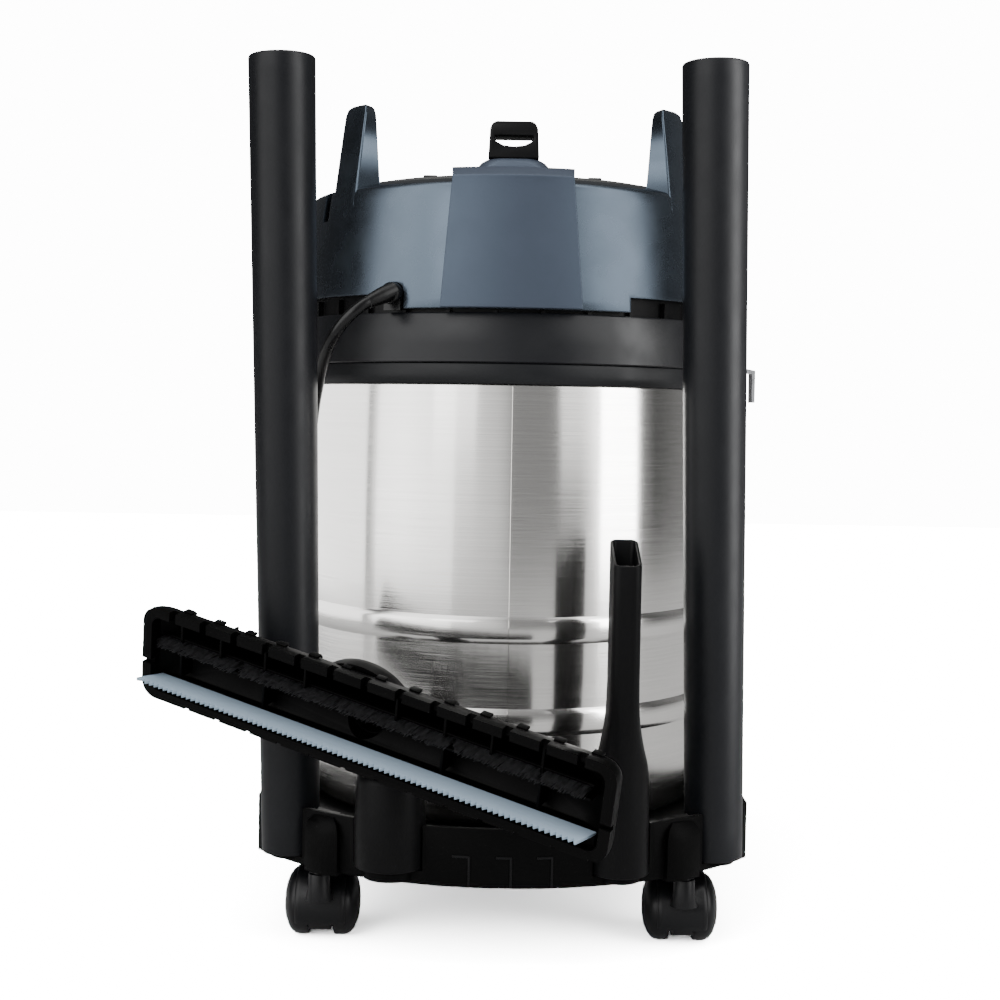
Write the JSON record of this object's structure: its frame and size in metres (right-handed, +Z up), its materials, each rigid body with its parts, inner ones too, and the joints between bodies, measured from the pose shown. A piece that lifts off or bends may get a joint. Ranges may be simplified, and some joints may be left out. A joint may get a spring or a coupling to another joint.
{
  "type": "shop vacuum",
  "caption": "Shop vacuum with a brushed steel drum on a castered dolly, a lift-off motor head, and wands, crevice tool and floor nozzle stored on the dolly.",
  "frame": {"origin": "On the floor, at the middle of the footprint of the machine without its cord.", "axes": "+Z is up. -Y is the rear, where the tools are stored and the cord leaves. +X is the right-hand side seen from the rear."},
  "size_m": [0.4176, 0.703, 0.5793],
  "materials": {
    "steel": "brushed stainless steel, horizontal grain",
    "black_plastic": "moulded black plastic, satin",
    "tool_plastic": "moulded black plastic, fine grain",
    "collar_plastic": "moulded charcoal plastic, satin",
    "cover_plastic": "blue-grey plastic, semi-gloss",
    "cap_plastic": "blue-grey plastic, semi-gloss",
    "wheel_plastic": "hard dark plastic",
    "rubber": "soft black rubber",
    "brush_bristle": "grey nylon bristle",
    "squeegee": "pale blue soft strip",
    "zinc": "zinc-plated steel",
    "motor": "dark painted metal",
    "filter_paper": "pleated off-white filter medium",
    "cord_jacket": "smooth black flexible plastic"
  },
  "bodies": {
    "root": {"base_dolly": "black_plastic", "drum": "steel", "drum_band": "black_plastic", "hose_inlet": "black_plastic", "latch_keeper_left": "zinc", "latch_keeper_right": "zinc", "cord": "cord_jacket", "cord_coil": "cord_jacket", "cord_tie": "rubber", "cord_tail": "cord_jacket", "plug": "cord_jacket"},
    "head": {"head_collar": "collar_plastic", "head_seal": "rubber", "exhaust_ring": "black_plastic", "head_cover": "cover_plastic", "rear_panel": "cover_plastic", "top_cap": "cap_plastic", "rear_loop": "black_plastic", "handle_rod": "zinc", "switch_housing": "black_plastic", "fan_housing": "zinc", "motor_can": "motor", "filter_cage": "black_plastic", "latch_pivot_left": "zinc", "latch_pivot_right": "zinc", "cord_gland": "cord_jacket"},
    "impeller": {"impeller": "zinc", "motor_shaft": "zinc"},
    "filter": {"cartridge_filter": "filter_paper", "filter_retainer": "black_plastic"},
    "float": {"float_ball": "tool_plastic"},
    "power_switch": {"power_switch": "rubber"},
    "carry_handle": {"carry_handle": "black_plastic"},
    "latch_left": {"latch_left": "zinc"},
    "latch_right": {"latch_right": "zinc"},
    "wand_left": {"wand_left": "tool_plastic"},
    "wand_right": {"wand_right": "tool_plastic"},
    "crevice_tool": {"crevice_tool": "tool_plastic"},
    "nozzle_neck": {"nozzle_neck": "tool_plastic", "nozzle_elbow": "tool_plastic"},
    "nozzle_head": {"nozzle_body": "black_plastic", "squeegee_strip": "squeegee", "brush_strip": "brush_bristle"},
    "caster_rear_left": {"caster_rear_left_hood": "tool_plastic", "caster_rear_left_axle": "zinc"},
    "wheels_rear_left": {"caster_rear_left_wheel_a": "wheel_plastic", "caster_rear_left_wheel_b": "wheel_plastic"},
    "caster_rear_right": {"caster_rear_right_hood": "tool_plastic", "caster_rear_right_axle": "zinc"},
    "wheels_rear_right": {"caster_rear_right_wheel_a": "wheel_plastic", "caster_rear_right_wheel_b": "wheel_plastic"},
    "caster_front_left": {"caster_front_left_hood": "tool_plastic", "caster_front_left_axle": "zinc"},
    "wheels_front_left": {"caster_front_left_wheel_a": "wheel_plastic", "caster_front_left_wheel_b": "wheel_plastic"},
    "caster_front_right": {"caster_front_right_hood": "tool_plastic", "caster_front_right_axle": "zinc"},
    "wheels_front_right": {"caster_front_right_wheel_a": "wheel_plastic", "caster_front_right_wheel_b": "wheel_plastic"}
  },
  "joints": [
    {"name": "head_lift", "type": "slide", "parent": "root", "child": "head", "axis": [0, 0, 1], "range_m": [0, 0.2]},
    {"name": "impeller_spin", "type": "hinge", "parent": "head", "child": "impeller", "pos_m": [0.027, 0.0545, 0.42], "axis": [0, 0, 1], "continuous": true},
    {"name": "filter_drop", "type": "slide", "parent": "head", "child": "filter", "axis": [0, 0, -1], "range_m": [0, 0.12]},
    {"name": "float_rise", "type": "slide", "parent": "head", "child": "float", "axis": [0, 0, 1], "range_m": [0, 0.07]},
    {"name": "switch_rock", "type": "hinge", "parent": "head", "child": "power_switch", "pos_m": [0.027, 0.218, 0.46], "axis": [1, 0, 0], "range_deg": [0, 5]},
    {"name": "handle_fold", "type": "hinge", "parent": "head", "child": "carry_handle", "pos_m": [0.027, 0.0605, 0.521], "axis": [1, 0, 0], "range_deg": [0, 95]},
    {"name": "latch_left_open", "type": "hinge", "parent": "head", "child": "latch_left", "pos_m": [-0.131, 0.0545, 0.402], "axis": [0, 1, 0], "range_deg": [0, 90]},
    {"name": "latch_right_open", "type": "hinge", "parent": "head", "child": "latch_right", "pos_m": [0.185, 0.0545, 0.402], "axis": [0, -1, 0], "range_deg": [0, 90]},
    {"name": "wand_left_lift", "type": "slide", "parent": "root", "child": "wand_left", "axis": [-0.0208, 0, 0.9998], "range_m": [0, 0.08]},
    {"name": "wand_right_lift", "type": "slide", "parent": "root", "child": "wand_right", "axis": [-0.0208, 0, 0.9998], "range_m": [0, 0.08]},
    {"name": "crevice_lift", "type": "slide", "parent": "root", "child": "crevice_tool", "axis": [0, 0, 1], "range_m": [0, 0.06]},
    {"name": "nozzle_lift", "type": "slide", "parent": "root", "child": "nozzle_neck", "axis": [0, 0, 1], "range_m": [0, 0.06]},
    {"name": "nozzle_swivel", "type": "hinge", "parent": "nozzle_neck", "child": "nozzle_head", "pos_m": [-0.05649, -0.15677, 0.16452], "axis": [-0.4649, -0.8581, -0.2182], "range_deg": [-20, 20]},
    {"name": "caster_rear_left_swivel", "type": "hinge", "parent": "root", "child": "caster_rear_left", "pos_m": [-0.0925, -0.1075, 0.05], "axis": [0, 0, 1], "continuous": true},
    {"name": "wheels_rear_left_roll", "type": "hinge", "parent": "caster_rear_left", "child": "wheels_rear_left", "pos_m": [-0.0925, -0.0825, 0.0223], "axis": [1, 0, 0], "continuous": true},
    {"name": "caster_rear_right_swivel", "type": "hinge", "parent": "root", "child": "caster_rear_right", "pos_m": [0.1465, -0.1075, 0.05], "axis": [0, 0, 1], "continuous": true},
    {"name": "wheels_rear_right_roll", "type": "hinge", "parent": "caster_rear_right", "child": "wheels_rear_right", "pos_m": [0.1465, -0.0825, 0.0223], "axis": [1, 0, 0], "continuous": true},
    {"name": "caster_front_left_swivel", "type": "hinge", "parent": "root", "child": "caster_front_left", "pos_m": [-0.0925, 0.2165, 0.05], "axis": [0, 0, 1], "continuous": true},
    {"name": "wheels_front_left_roll", "type": "hinge", "parent": "caster_front_left", "child": "wheels_front_left", "pos_m": [-0.0925, 0.2415, 0.0223], "axis": [1, 0, 0], "continuous": true},
    {"name": "caster_front_right_swivel", "type": "hinge", "parent": "root", "child": "caster_front_right", "pos_m": [0.1465, 0.2165, 0.05], "axis": [0, 0, 1], "continuous": true},
    {"name": "wheels_front_right_roll", "type": "hinge", "parent": "caster_front_right", "child": "wheels_front_right", "pos_m": [0.1465, 0.2415, 0.0223], "axis": [1, 0, 0], "continuous": true}
  ]
}
